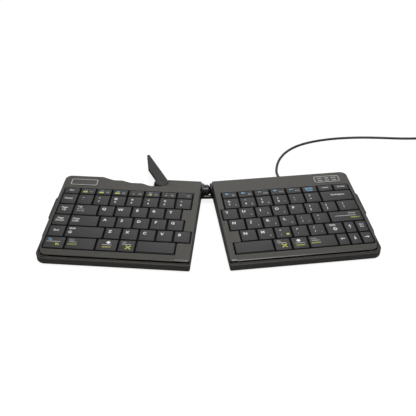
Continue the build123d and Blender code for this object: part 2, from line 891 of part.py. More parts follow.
def controller_board():
    body = board(RIGHT, controller_chip_shares)
    top = board_height + board_thickness
    for x, y in lens_places(RIGHT):
        body += pillar(x, y, led_size[0], led_size[1], top + led_size[2], top)
    return body


def link_cable():
    """Short jacketed cable between the halves, thicker in the middle, in the assembly frame."""
    face_x = hinge_reach / cos(radians(half_splay)) + link_forward * tan(radians(half_splay))
    end = face_x + link_entry
    neck = face_x - link_radius / 2
    outline = Polyline((-neck, link_radius), (-end, link_radius), (-end, 0), (end, 0), (end, link_radius), (neck, link_radius))
    belly = ThreePointArc((neck, link_radius), (0, link_belly_radius), (-neck, link_radius))
    body = revolve(make_face(outline + belly), Axis.X)
    return Pos(0, -link_forward, hinge_height - link_drop) * body


# Cord, in the assembly frame
def angle_between(a, b):
    return radians(a.get_angle(b))


def cord_tube(name, points):
    """Round tube along straight runs joined by arcs as large as the runs allow."""
    radii = []
    for before, point, after in zip(points, points[1:], points[2:]):
        turn = angle_between(point - before, after - point)
        run = min((point - before).length, (after - point).length)
        radii.append(arc_reach_share * run / tan(turn / 2))
    path = FilletPolyline(*points, radius=radii)
    tube = sweep(Plane(points[0], z_dir=points[1] - points[0]) * Circle(cord_radius), path=path)
    section = pi * cord_radius**2
    print(name, "length", round(path.length, 1), "volume share", round(tube.volume / (section * path.length), 4))
    print(name, "radii", [round(radius, 1) for radius in radii])
    return tube


def coil_point(turns):
    """Centre and direction of the coiled cord after a number of clockwise turns from its rear."""
    layer = min(int(turns / coil_layer_turns), coil_layers - 1)
    along = turns - layer * coil_layer_turns
    inner_radius = coil_outer_radius - coil_pitch * coil_layer_turns
    inward = layer % 2 == 0
    radius = coil_outer_radius - coil_pitch * along if inward else inner_radius + coil_pitch * along
    reverses = [count * coil_layer_turns for count in range(1, coil_layers)]
    turning = turns in reverses or turns in (0, coil_turns)
    rate = 0 if turning else (-coil_pitch if inward else coil_pitch)
    height = coil_lift + cord_radius + layer * coil_pitch
    climb = 0
    if turns in reverses:
        height -= coil_pitch / 2
        climb = 3 * coil_pitch
    angle = pi / 2 - 2 * pi * turns
    place = Vector(coil_centre[0] + radius * cos(angle), coil_centre[1] + radius * sin(angle), height)
    flow = Vector(
        rate * cos(angle) + 2 * pi * radius * sin(angle),
        rate * sin(angle) - 2 * pi * radius * cos(angle),
        climb,
    )
    return place, flow.normalized()


def biarc(start, start_way, end, end_way):
    """Two arcs that join two points in given directions."""
    chord = end - start
    ways = start_way + end_way
    spread = 2 * (1 - start_way.dot(end_way))
    lean = chord.dot(ways)
    reach = (-lean + sqrt(lean**2 + spread * chord.dot(chord))) / spread
    before = start + start_way * reach
    after = end - end_way * reach
    middle = (before + after) * 0.5
    first = Edge.make_tangent_arc(start, start_way, middle)
    return [first, Edge.make_tangent_arc(middle, after - before, end)]


def coil_path():
    """Unbroken line of the coil, straight for one cord diameter at both ends."""
    steps = [coil_point(quarter / 4) for quarter in range(round(coil_turns * 4) + 1)]
    straight = 2 * cord_radius
    start, start_way = steps[0]
    end, end_way = steps[-1]
    edges = [Edge.make_line(start - start_way * straight, start)]
    for (a, a_way), (b, b_way) in zip(steps, steps[1:]):
        edges += biarc(a, a_way, b, b_way)
    edges.append(Edge.make_line(end, end + end_way * straight))
    return Wire(edges)


def least_gap(path):
    """Least gap of a coiled tube to itself, measured on points along it."""
    spacing = cord_radius
    count = int(path.length / spacing)
    points = [path.position_at(index / count) for index in range(count + 1)]
    apart = round(pi * coil_outer_radius / 2 / spacing)
    least = coil_outer_radius
    for index, point in enumerate(points):
        for other in points[index + apart:]:
            least = min(least, (other - point).length)
    return least - 2 * cord_radius


def cord_tie():
    """Strap round the bundle on the side towards the keyboard."""
    inner_radius = coil_outer_radius - coil_pitch * coil_layer_turns
    inside = sqrt(inner_radius**2 - tie_width**2 / 4) - cord_radius - tie_clearance
    outside = coil_outer_radius + cord_radius + tie_clearance
    low = coil_lift - tie_clearance
    high = coil_lift + 2 * cord_radius + coil_pitch * (coil_layers - 1) + tie_clearance
    x_middle = coil_centre[0] - (inside + outside) / 2
    opening = pillar(x_middle, coil_centre[1], outside - inside, 2 * tie_width, high, low)
    width = outside - inside + 2 * tie_thickness
    strap = pillar(x_middle, coil_centre[1], width, tie_width, high + tie_thickness, low - tie_thickness)
    return strap - opening


def tail_points(start, way):
    """Route from the coil's end down to the plug: sideways, forward and down steps."""
    side = Vector(-way.Y, way.X, 0)
    points = [start]
    for sideways, forward, down in tail_runs:
        points.append(points[-1] + side * sideways + way * forward - Vector(0, 0, down))
    return points


def plug_place(points):
    """Location of the plug on the end of the cord: +X points out of the plug."""
    end = points[-1]
    way = end - points[-2]
    return Pos(end.X, end.Y, end.Z) * Rot(0, 0, degrees(atan2(way.Y, way.X)))


def plug_grip():
    """Moulded grip of the plug, with the contact tongue inside the shell."""
    length, width, height = plug_grip_size
    body = Pos(length / 2, 0, 0) * Box(length, width, height)
    body = fillet(body.edges().filter_by(Axis.X), plug_grip_edge)
    shell_length, shell_width, shell_height = plug_shell_size
    tongue_length = shell_length - 2 * plug_shell_wall
    tongue_width = shell_width - 2 * plug_shell_wall
    z = (shell_height / 2 - plug_shell_wall) - plug_tongue_height / 2
    return body + Pos(length + tongue_length / 2, 0, z) * Box(tongue_length, tongue_width, plug_tongue_height)


def plug_shell():
    """Open sheet-metal shell of the plug."""
    length, width, height = plug_shell_size
    x = plug_grip_size[0] + length / 2
    outer = Pos(x, 0, 0) * Box(length, width, height)
    return outer - Pos(x, 0, 0) * Box(2 * length, width - 2 * plug_shell_wall, height - 2 * plug_shell_wall)


def cord_boot():
    """Tapered strain relief, in the right half's level frame."""
    root = -wall - boot_flange
    profile = [
        (0, root),
        (boot_flange_radius, root),
        (boot_flange_radius, -wall),
        (boot_radius, -wall),
        (boot_radius, overrun),
        (boot_tip_radius, boot_length - boot_tip_length),
        (boot_tip_radius, boot_length),
        (0, boot_length),
    ]
    body = revolve(make_face(Polyline(*[(x, y, 0) for x, y in profile], close=True)), Axis.Y)
    return Pos(cord_exit_reach, 0, cord_exit_height) * body


left_place = half_place(LEFT)
right_place = half_place(RIGHT)

nodes = {}
for side, name, place in ((LEFT, "left", left_place), (RIGHT, "right", right_place)):
    nodes[name + "_top_shell"] = [place * top_shell(side)]
    nodes[name + "_bottom_shell"] = [place * bottom_shell(side)]
    nodes[name + "_key_frame"] = [place * key_frame(side)]
    nodes[name + "_dome_sheet"] = [place * dome_layer(side)]
    nodes[name + "_back_plate"] = [place * back_plate_layer(side)]
    nodes[name + "_feet"] = [place * foot for foot in feet(side)]
    nodes[name + "_screws"] = [place * item for item in case_screws(side)]
    nodes[name + "_catch"] = [place * side_catch(side)]
    for node, keys in key_list(side).items():
        nodes[node] = [place * key_cap(side, key) for key in keys]

nodes["badge_plate"] = [left_place * badge_plate()]
nodes["socket_barrel"] = [left_place * socket_barrel()]
nodes["matrix_board"] = [left_place * board(LEFT, matrix_chip_shares)]
nodes["lock_lever"] = [left_place * lock_lever()]
nodes["lever_screw"] = [left_place * lever_screw()]
nodes["clamp_cam"] = [left_place * clamp_cam()]
nodes["clamp_pusher"] = [left_place * clamp_pusher()]
nodes["link_cable"] = [link_cable()]

ball_place = Pos(0, 0, hinge_height) * Rot(0, 0, half_splay)
nodes["pivot_ball"] = [ball_place * pivot_ball()]
nodes["pivot_pin"] = [ball_place * pivot_pin()]
nodes["hinge_tongue"] = [right_place * hinge_tongue()]
nodes["indicator_panel"] = [right_place * indicator_panel()]
nodes["indicator_lenses"] = [right_place * deck(lens) for lens in lens_blocks()]
nodes["controller_board"] = [right_place * controller_board()]

boot = right_place * cord_boot()
boot_tip = (right_place * Pos(cord_exit_reach, boot_length, cord_exit_height)).position
boot_way = (right_place * Pos(cord_exit_reach, boot_length + cord_lead, cord_exit_height)).position
winding = coil_path()
coil_start = winding.position_at(0)
coil_end = winding.position_at(1)
tail = tail_points(coil_end, winding.tangent_at(1))
free_points = [boot_tip, boot_way] + [Vector(*point) for point in cord_route] + [coil_start]
plug = plug_place(tail)
nodes["cord_boot"] = [boot]
nodes["cord_free"] = [cord_tube("cord_free", free_points)]
coil = sweep(Plane(coil_start, z_dir=winding.tangent_at(0)) * Circle(cord_radius), path=winding)
nodes["cord_coil"] = [coil]
nodes["cord_tail"] = [cord_tube("cord_tail", tail)]
nodes["cord_tie"] = [cord_tie()]
nodes["usb_plug_grip"] = [plug * plug_grip()]
nodes["usb_plug_shell"] = [plug * plug_shell()]
coil_volume = pi * cord_radius**2 * winding.length
print("cord_coil length", round(winding.length, 1), "volume share", round(coil.volume / coil_volume, 4))
print("cord_coil least gap", round(least_gap(winding), 3))

# Middle of the object's footprint, measured without the cord
cord_names = ("cord_boot", "cord_free", "cord_coil", "cord_tail", "cord_tie", "usb_plug_grip", "usb_plug_shell")
own = Compound([shape for name, shapes in nodes.items() if name not in cord_names for shape in shapes])
box = own.bounding_box()
middle = Pos(-(box.min.X + box.max.X) / 2, -(box.min.Y + box.max.Y) / 2, -box.min.Z)

os.makedirs("parts", exist_ok=True)
for name, shapes in nodes.items():
    moved = [middle * shape for shape in shapes]
    export_step(moved[0] if len(moved) == 1 else Compound(moved), "parts/" + name + ".step")

hinge = (middle * Pos(0, 0, hinge_height)).position
left_deck = left_place * Pos(0, 0, rear_height) * Rot(deck_slope, 0, 0)
right_deck = right_place * Pos(0, 0, rear_height) * Rot(deck_slope, 0, 0)
pivot = (middle * left_deck * Pos(lever_place[0], lever_place[1], 0)).position
print("nodes", len(nodes), "size", box.size)
print("shift", middle.position)
print("hinge", hinge, "lever", pivot)
for name, frame in (("left", left_deck), ("right", right_deck)):
    print(name, "normal", (frame * Pos(0, 0, 1)).position - frame.position)
    print(name, "along", (frame * Pos(1, 0, 0)).position - frame.position)
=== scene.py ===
"""Looks of the split keyboard: caps, legends, trim, cords, floor and light, in metres."""
import json
from math import cos, pi, radians, sin

import bpy
from mathutils import Matrix, Vector

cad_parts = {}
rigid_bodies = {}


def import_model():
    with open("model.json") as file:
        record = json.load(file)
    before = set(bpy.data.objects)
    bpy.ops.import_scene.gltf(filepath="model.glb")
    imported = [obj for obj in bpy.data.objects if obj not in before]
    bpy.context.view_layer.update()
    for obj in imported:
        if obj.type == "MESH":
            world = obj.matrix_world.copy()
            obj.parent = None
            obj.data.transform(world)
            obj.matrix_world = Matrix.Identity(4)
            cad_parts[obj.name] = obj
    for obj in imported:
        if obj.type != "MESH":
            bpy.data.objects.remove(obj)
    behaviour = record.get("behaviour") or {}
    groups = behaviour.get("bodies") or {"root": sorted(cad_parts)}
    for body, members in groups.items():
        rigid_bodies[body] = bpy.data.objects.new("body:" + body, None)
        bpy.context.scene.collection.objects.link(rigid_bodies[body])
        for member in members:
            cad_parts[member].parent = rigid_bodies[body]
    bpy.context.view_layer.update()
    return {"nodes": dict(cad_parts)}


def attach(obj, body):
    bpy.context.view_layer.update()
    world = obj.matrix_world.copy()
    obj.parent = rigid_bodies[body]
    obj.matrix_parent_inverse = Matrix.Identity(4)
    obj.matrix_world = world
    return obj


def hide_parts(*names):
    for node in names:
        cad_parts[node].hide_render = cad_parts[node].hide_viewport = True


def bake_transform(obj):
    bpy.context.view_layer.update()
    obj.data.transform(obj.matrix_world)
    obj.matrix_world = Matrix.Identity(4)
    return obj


MM = 0.001
LEFT = -1
RIGHT = 1
HALVES = ((LEFT, "left"), (RIGHT, "right"))

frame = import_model()

# Case as in the solids, in millimetres and degrees
CASE_WIDTH = 156.0
CASE_DEPTH = 137.0
CASE_CORNER = 10.0
REAR_HEIGHT = 19.0
SLOPE = 3.05
SPLAY = 6.2

# Hinge axis behind the origin, with the inner walls beside it and the rear edges behind it
HINGE_Y = 32.6242
HINGE_HEIGHT = 11.6
WALL_REACH = 6.0
REAR_REACH = 7.2


def level(side):
    """Level frame of a half: x from its inner wall, y from its rear edge."""
    place = Matrix.Translation((0, HINGE_Y * MM, 0)) @ Matrix.Rotation(radians(side * SPLAY), 4, "Z")
    return place @ Matrix.Translation((side * WALL_REACH * MM, REAR_REACH * MM, 0))


def deck(side):
    """Deck frame of a half: z = 0 on the flat top of the case."""
    lift = Matrix.Translation((0, 0, REAR_HEIGHT * MM))
    return level(side) @ lift @ Matrix.Rotation(radians(SLOPE), 4, "X")


# Camera, in metres and degrees, fitted to the grid of keys in the photograph
CAMERA_PLACE = (-0.0145, -0.6084, 0.4458)
CAMERA_DIP = 35.58
CAMERA_TURN = -1.4
CAMERA_LENS = 59.4
CAMERA_SENSOR = 36
CAMERA_NEAR = 0.02
CAMERA_FAR = 30

bpy.ops.object.camera_add(location=CAMERA_PLACE, rotation=(radians(90 - CAMERA_DIP), 0, radians(CAMERA_TURN)))
camera = bpy.context.object
camera.name = "camera"
camera.data.sensor_width = CAMERA_SENSOR
camera.data.lens = CAMERA_LENS
camera.data.clip_start = CAMERA_NEAR
camera.data.clip_end = CAMERA_FAR
bpy.context.scene.camera = camera

# Finishes: shine, fineness of the grain, its depth in millimetres, and the slow drift of tone
SPECULAR = 0.5
GRAIN_SCALE = 2600
GRAIN_DETAIL = 2
GRAIN_DEPTH = 0.08
DRIFT_SCALE = 28
DRIFT_DETAIL = 3
DRIFT_LOW_SHARE = 0.94
DRIFT_START = 0.3
DRIFT_STOP = 0.7
ROUNDING_SAMPLES = 6


def material(name, color, roughness, metallic=0, grain=0, grain_scale=GRAIN_SCALE, rounding=0):
    """Principled material, with a fine grain and softly rounded edges where they are asked for."""
    made = bpy.data.materials.new(name)
    made.use_nodes = True
    tree = made.node_tree
    shader = tree.nodes["Principled BSDF"]
    shader.inputs["Base Color"].default_value = (*color, 1)
    shader.inputs["Roughness"].default_value = roughness
    shader.inputs["Metallic"].default_value = metallic
    shader.inputs["Specular IOR Level"].default_value = SPECULAR
    place = tree.nodes.new("ShaderNodeTexCoord")
    surface = shader.inputs["Normal"]
    if grain:
        noise = tree.nodes.new("ShaderNodeTexNoise")
        noise.inputs["Scale"].default_value = grain_scale
        noise.inputs["Detail"].default_value = GRAIN_DETAIL
        tree.links.new(place.outputs["Object"], noise.inputs["Vector"])
        bump = tree.nodes.new("ShaderNodeBump")
        bump.inputs["Strength"].default_value = grain
        bump.inputs["Distance"].default_value = GRAIN_DEPTH * MM
        tree.links.new(noise.outputs["Fac"], bump.inputs["Height"])
        tree.links.new(bump.outputs["Normal"], surface)
        surface = bump.inputs["Normal"]
    if rounding:
        edge = tree.nodes.new("ShaderNodeBevel")
        edge.samples = ROUNDING_SAMPLES
        edge.inputs["Radius"].default_value = rounding * MM
        tree.links.new(edge.outputs["Normal"], surface)
    # Slow change of tone, as on moulded plastic that has been handled
    drift = tree.nodes.new("ShaderNodeTexNoise")
    drift.inputs["Scale"].default_value = DRIFT_SCALE
    drift.inputs["Detail"].default_value = DRIFT_DETAIL
    tree.links.new(place.outputs["Object"], drift.inputs["Vector"])
    ramp = tree.nodes.new("ShaderNodeValToRGB")
    ramp.color_ramp.elements[0].position = DRIFT_START
    ramp.color_ramp.elements[0].color = (*[channel * DRIFT_LOW_SHARE for channel in color], 1)
    ramp.color_ramp.elements[1].position = DRIFT_STOP
    ramp.color_ramp.elements[1].color = (*color, 1)
    tree.links.new(drift.outputs["Fac"], ramp.inputs["Fac"])
    tree.links.new(ramp.outputs["Color"], shader.inputs["Base Color"])
    return made


case = material("case", (0.053, 0.050, 0.043), 0.50, grain=0.35, rounding=0.5)
keys = material("keys", (0.031, 0.031, 0.0312), 0.55, grain=0.5, grain_scale=1800, rounding=0.3)
# Key sides: near-black painted shade, standing in for the shade in the narrow gaps between keys
painted_shade_key_sides = material("painted_shade_key_sides", (0.006, 0.006, 0.006), 0.6)
case_edge = material("case_edge", (0.055, 0.053, 0.048), 0.24)
# Gap under the lip: a real undercut, whose faces are painted near-black as shade
gap_painted_shade = material("gap_painted_shade", (0.004, 0.004, 0.004), 0.8)
catch_plastic = material("catch_plastic", (0.014, 0.014, 0.013), 0.45, rounding=0.3)
lever_plastic = material("lever_plastic", (0.019, 0.020, 0.017), 0.60, grain=0.35, rounding=0.6)
barrel_plastic = material("barrel_plastic", (0.012, 0.012, 0.012), 0.30)
inner_plastic = material("inner_plastic", (0.012, 0.012, 0.012), 0.5)
rubber_dark = material("rubber_dark", (0.015, 0.015, 0.015), 0.8, grain=0.2)
rubber_pale = material("rubber_pale", (0.35, 0.36, 0.35), 0.7)
steel = material("steel", (0.55, 0.55, 0.55), 0.35, metallic=1)
screw_dark = material("screw_dark", (0.05, 0.05, 0.05), 0.4, metallic=1)
plug_metal = material("plug_metal", (0.72, 0.72, 0.71), 0.25, metallic=1)
cord_skin = material("cord_skin", (0.036, 0.035, 0.031), 0.45)
link_skin = material("link_skin", (0.010, 0.010, 0.010), 0.25)
strap = material("strap", (0.02, 0.02, 0.02), 0.9, grain=0.8, grain_scale=1500)
trim = material("trim", (0.040, 0.038, 0.033), 0.38)
lens = material("lens", (0.16, 0.17, 0.19), 0.2)
board_green = material("board_green", (0.01, 0.12, 0.05), 0.35)
white_ink = material("white_ink", (0.78, 0.78, 0.76), 0.6)
soft_ink = material("soft_ink", (0.56, 0.56, 0.55), 0.6)
grey_ink = material("grey_ink", (0.34, 0.34, 0.33), 0.6)
blue_ink = material("blue_ink", (0.20, 0.42, 0.62), 0.6)
lime_ink = material("lime_ink", (0.60, 0.60, 0.11), 0.6)
olive_ink = material("olive_ink", (0.38, 0.39, 0.08), 0.6)

LOOKS = {
    case: ["left_top_shell", "left_bottom_shell", "right_top_shell", "right_bottom_shell"],
    catch_plastic: ["left_catch", "right_catch"],
    lever_plastic: ["lock_lever"],
    barrel_plastic: ["socket_barrel", "hinge_tongue", "pivot_ball"],
    inner_plastic: ["left_key_frame", "right_key_frame", "clamp_cam", "clamp_pusher"],
    rubber_dark: ["left_feet", "right_feet"],
    rubber_pale: ["left_dome_sheet", "right_dome_sheet"],
    steel: ["left_back_plate", "right_back_plate", "left_screws", "right_screws", "pivot_pin"],
    screw_dark: ["lever_screw"],
    plug_metal: ["usb_plug_shell"],
    cord_skin: ["cord_boot", "usb_plug_grip"],
    strap: ["cord_tie"],
    trim: ["badge_plate", "indicator_panel"],
    lens: ["indicator_lenses"],
    board_green: ["controller_board", "matrix_board"],
}
for look, names in LOOKS.items():
    for name in names:
        mesh = frame["nodes"][name].data
        mesh.materials.clear()
        mesh.materials.append(look)

# Small helpers that work as one would by hand. Edges are smooth up to an angle in degrees, points merge
# up to a distance in millimetres, and a face faces a way if more than a share of its normal points there.
SMOOTH_ANGLE = 40
MERGE_DISTANCE = 0.001
FACING_SHARE = 0.5


def clear_choice():
    """Leave edit mode and select nothing."""
    if bpy.context.object and bpy.context.object.mode != "OBJECT":
        bpy.ops.object.mode_set(mode="OBJECT")
    bpy.ops.object.select_all(action="DESELECT")


def choose(objects):
    """Select only these objects, with the first one active."""
    clear_choice()
    for item in objects:
        item.select_set(True)
    bpy.context.view_layer.objects.active = objects[0]


def put(item, matrix):
    """Move an object to its place and leave its origin at the middle of the scene."""
    item.matrix_world = matrix
    choose([item])
    bpy.ops.object.transform_apply(location=True, rotation=True, scale=True)


def joined(objects, name):
    """Join objects into the first one and name it."""
    choose(objects)
    if len(objects) > 1:
        bpy.ops.object.join()
    made = bpy.context.view_layer.objects.active
    made.name = name
    return made


def drop_choice(mesh):
    """Select no point, edge or face of a mesh."""
    for part in (mesh.vertices, mesh.edges, mesh.polygons):
        part.foreach_set("select", [False] * len(part))


def pick_faces(item, wanted):
    """Select the faces that a test names, then open the mesh for editing."""
    choose([item])
    drop_choice(item.data)
    for face in item.data.polygons:
        face.select = wanted(face)
    bpy.ops.object.mode_set(mode="EDIT")
    bpy.ops.mesh.select_mode(type="FACE")


def pick_upright_edges(item):
    """Select the edges that rise from low to high, then open the mesh for editing."""
    choose([item])
    drop_choice(item.data)
    for edge in item.data.edges:
        first, second = [item.data.vertices[index].co.z for index in edge.vertices]
        edge.select = abs(first - second) > MERGE_DISTANCE * MM
    bpy.ops.object.mode_set(mode="EDIT")
    bpy.ops.mesh.select_mode(type="EDGE")


def block():
    """Unit cube, to be scaled to its size."""
    clear_choice()
    bpy.ops.mesh.primitive_cube_add(size=1, location=(0, 0, 0))
    return bpy.context.object


def smooth(item, angle=SMOOTH_ANGLE):
    choose([item])
    bpy.ops.object.shade_smooth_by_angle(angle=radians(angle))


# Cord: the boot, the route of its tube, then the coil and the drop to the plug
CORD_RADIUS = 1.5
BOOT_LENGTH = 14.0
BOOT_LEAD = 10.0
EXIT_REACH = 81.0
EXIT_HEIGHT = 8.0
ROUTE = [
    (84.3, 50.0, 3.2), (85.5, 60.0, 1.5), (87.8, 71.0, 1.5), (92.0, 82.5, 1.5), (98.4, 94.0, 1.5),
    (107.0, 104.4, 1.5), (118.0, 113.4, 1.5), (132.5, 121.0, 1.5), (151.0, 127.0, 1.5), (174.0, 131.2, 1.5),
    (200.0, 132.6, 1.5), (226.0, 131.2, 1.5), (250.0, 128.6, 1.5), (268.0, 127.5, 1.8), (282.5, 127.0, 2.4),
]
COIL_CENTRE = (298.0, 105.6)
COIL_RADIUS = 21.4
LAYER_TURNS = 2.75
TURNS = 11.25
LAYERS = 4
COIL_PITCH = 3.5
COIL_LIFT = 0.9
CLIMB_TURNS = 0.5
STEPS_PER_TURN = 20
TAIL = [(0.0, 9.0, 0.0), (0.8, 9.5, 4.3), (1.4, 10.0, 3.9), (0.6, 9.5, 0.7), (0.2, 9.0, 0.0)]
TUBE_STEPS = 4


def coil_place(turns):
    """Centre of the coiled cord after a number of clockwise turns."""
    layer = min(int(turns / LAYER_TURNS + 1e-9), LAYERS - 1)
    along = turns - layer * LAYER_TURNS
    inner = COIL_RADIUS - COIL_PITCH * LAYER_TURNS
    radius = COIL_RADIUS - COIL_PITCH * along if layer % 2 == 0 else inner + COIL_PITCH * along
    height = COIL_LIFT + CORD_RADIUS
    for count in range(1, LAYERS):
        climb = min(max((turns - count * LAYER_TURNS + CLIMB_TURNS / 2) / CLIMB_TURNS, 0), 1)
        height += COIL_PITCH * climb * climb * (3 - 2 * climb)
    angle = pi / 2 - 2 * pi * turns
    return (COIL_CENTRE[0] + radius * cos(angle), COIL_CENTRE[1] + radius * sin(angle), height)


def cord_points(boot_tip):
    """Points along the middle of the cord, from the boot to the plug."""
    lead = level(RIGHT) @ Vector((EXIT_REACH * MM, (BOOT_LENGTH + BOOT_LEAD) * MM, EXIT_HEIGHT * MM))
    line = list(ROUTE)
    line.append((COIL_CENTRE[0] - 2 * CORD_RADIUS, COIL_CENTRE[1] + COIL_RADIUS, COIL_LIFT + CORD_RADIUS))
    for step in range(round(TURNS * STEPS_PER_TURN) + 1):
        line.append(coil_place(step / STEPS_PER_TURN))
    end = Vector(line[-1]) + Vector((0, -2 * CORD_RADIUS, 0))
    line.append(tuple(end))
    for sideways, forward, down in TAIL:
        end = end + Vector((sideways, -forward, -down))
        line.append(tuple(end))
    return [boot_tip, lead] + [Vector((x * MM, (y + HINGE_Y) * MM, z * MM)) for x, y, z in line]


def tube(name, places, radius, radii=None):
    """Round tube along a smooth line through a row of points."""
    clear_choice()
    bpy.ops.curve.primitive_nurbs_path_add(location=(0, 0, 0))
    item = bpy.context.object
    item.name = name
    curve = item.data
    curve.splines.clear()
    spline = curve.splines.new("NURBS")
    spline.points.add(len(places) - 1)
    for index, place in enumerate(places):
        spline.points[index].co = (*place, 1)
        spline.points[index].radius = 1 if radii is None else radii[index]
    spline.order_u = 3
    spline.use_endpoint_u = True
    spline.resolution_u = TUBE_STEPS
    curve.dimensions = "3D"
    curve.bevel_depth = radius
    curve.bevel_resolution = TUBE_STEPS
    curve.use_fill_caps = True
    return item


boot_tip = level(RIGHT) @ Vector((EXIT_REACH * MM, BOOT_LENGTH * MM, EXIT_HEIGHT * MM))
cord = tube("cord", cord_points(boot_tip), CORD_RADIUS * MM)
cord.data.materials.append(cord_skin)
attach(cord, "right_half")
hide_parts("cord_free", "cord_coil", "cord_tail")

# Link cable between the halves, in two pieces that meet in the middle, where it is thicker
LINK_RADIUS = 1.3
LINK_FRONT = 8.6
LINK_DROP = 4.6
LINK_MIDDLE = 1.0
# From the middle outwards: reach, rise, and thickness as a share of the cable's own
LINK_ROUTE = [
    (0.0, 1.6, 1.77), (1.8, 1.6, 1.77), (3.6, 1.5, 1.7), (5.2, 1.2, 1.5),
    (6.4, 0.5, 1.2), (8.0, 0.0, 1.0), (10.0, 0.0, 1.0), (12.0, 0.0, 1.0),
]
link_y = (HINGE_Y - LINK_FRONT) * MM
link_z = (HINGE_HEIGHT - LINK_DROP) * MM
for side, name in HALVES:
    half = name + "_half"
    line = [Vector((side * reach * MM, link_y, link_z + rise * MM)) for reach, rise, _ in LINK_ROUTE]
    piece = tube("link_" + name, line, LINK_RADIUS * MM, [share for _, _, share in LINK_ROUTE])
    piece.data.materials.append(link_skin)
    choose([piece])
    bpy.ops.object.convert(target="MESH")
    middle = Vector((side * LINK_MIDDLE * MM, link_y, link_z))
    if side == LEFT:
        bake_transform(piece)
        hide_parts("link_cable")
    else:
        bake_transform(piece)

# Keys of each group: row, then start and width in key pitches
KEYS = {
    "left_function_keys": [(1, start, 1) for start in range(8)],
    "left_number_keys": [(2, start, 1) for start in range(1, 8)],
    "left_navigation_keys": [(row, 0, 1) for row in (2, 3, 4, 5)],
    "left_tab_key": [(3, 1, 1.5)],
    "left_upper_keys": [(3, start + 0.5, 1) for start in range(2, 7)],
    "left_caps_key": [(4, 1, 1.75)],
    "left_middle_keys": [(4, start + 0.75, 1) for start in range(2, 7)],
    "left_shift_key": [(5, 1, 2.25)],
    "left_lower_keys": [(5, start + 0.25, 1) for start in range(3, 8)],
    "left_modifier_keys": [(6, 0, 1.25), (6, 1.25, 1.75), (6, 3, 1.25), (6, 4.25, 1)],
    "left_space_key": [(6, 5.25, 2.25)],
    "right_function_keys": [(1, start, 1) for start in range(8)],
    "right_number_keys": [(2, start, 1) for start in range(6)],
    "right_backspace_key": [(2, 6, 2)],
    "right_upper_keys": [(3, start - 0.25, 1) for start in range(7)],
    "right_backslash_key": [(3, 6.75, 1.25)],
    "right_middle_keys": [(4, start, 1) for start in range(6)],
    "right_enter_key": [(4, 6, 2)],
    "right_lower_keys": [(5, start + 0.5, 1) for start in range(5)],
    "right_shift_key": [(5, 5.5, 1.1)],
    "right_arrow_keys": [(5, 6.6, 0.7), (5, 7.3, 0.7), (6, 5.9, 0.7), (6, 6.6, 0.7), (6, 7.3, 0.7)],
    "right_modifier_keys": [(6, 2.25, 1), (6, 3.25, 1), (6, 4.25, 1.65)],
    "right_space_key": [(6, 0, 2.25)],
}

# Legends: (ink, text or mark, x, y, size) in millimetres from the middle of the key's top
WORD_LIFT = 0.6
WHITE, SOFT, GREY, BLUE, LIME, OLIVE = white_ink, soft_ink, grey_ink, blue_ink, lime_ink, olive_ink


def letter(text):
    return [(WHITE, text, -3.0, 2.3, 5.2)]


def letter_and_digit(text, digit):
    return letter(text) + [(GREY, digit, 4.2, -3.6, 3.2)]


def pair(upper, lower, extra=None):
    marks = [(WHITE, upper, -2.6, 3.0, 3.6), (WHITE, lower, -2.6, -2.6, 3.6)]
    return marks + ([(GREY, extra, 4.0, -3.8, 3.2)] if extra else [])


def function(text, blue=None, lime=None):
    marks = [(GREY, text, 4.0, -1.2, 3.2)]
    marks += [(BLUE, blue, -2.4, 1.8, 3.0)] if blue else []
    return marks + ([(LIME, lime, -2.8, -1.6, 2.8)] if lime else [])


def words(x, size, *rows):
    """Rows of small words, the first one on top."""
    top = (len(rows) - 1) * size / 2 + WORD_LIFT
    return [(SOFT, text, x, top - index * size, size) for index, text in enumerate(rows)]


def shift(x, y, size, arrow_x, arrow_size):
    return [(SOFT, "Shift", x, y, size), (WHITE, "shift_arrow", arrow_x, -1.4, arrow_size)]


def control(x):
    """A word over a thin rule, with a second word in another ink below it."""
    return [(GREY, "Ctrl", x - 1.4, 4.2, 3.2), (WHITE, "rule", x, 1.4, 8.0), (OLIVE, "control", x, -1.8, 3.2)]


def option(x):
    return [(WHITE, "diamond", x, 3.4, 5.0), (WHITE, "rule", 0, -0.2, 9.5), (OLIVE, "option", 0, -3.2, 3.4)]


def arrow(degrees):
    return [(WHITE, "arrow", 0, 0.6, degrees)]


ALT = [(GREY, "Alt", -3.2, 4.6, 3.2), (WHITE, "rule", -0.6, 1.8, 9.0), (LIME, "cross", 1.6, -2.4, 6.0)]

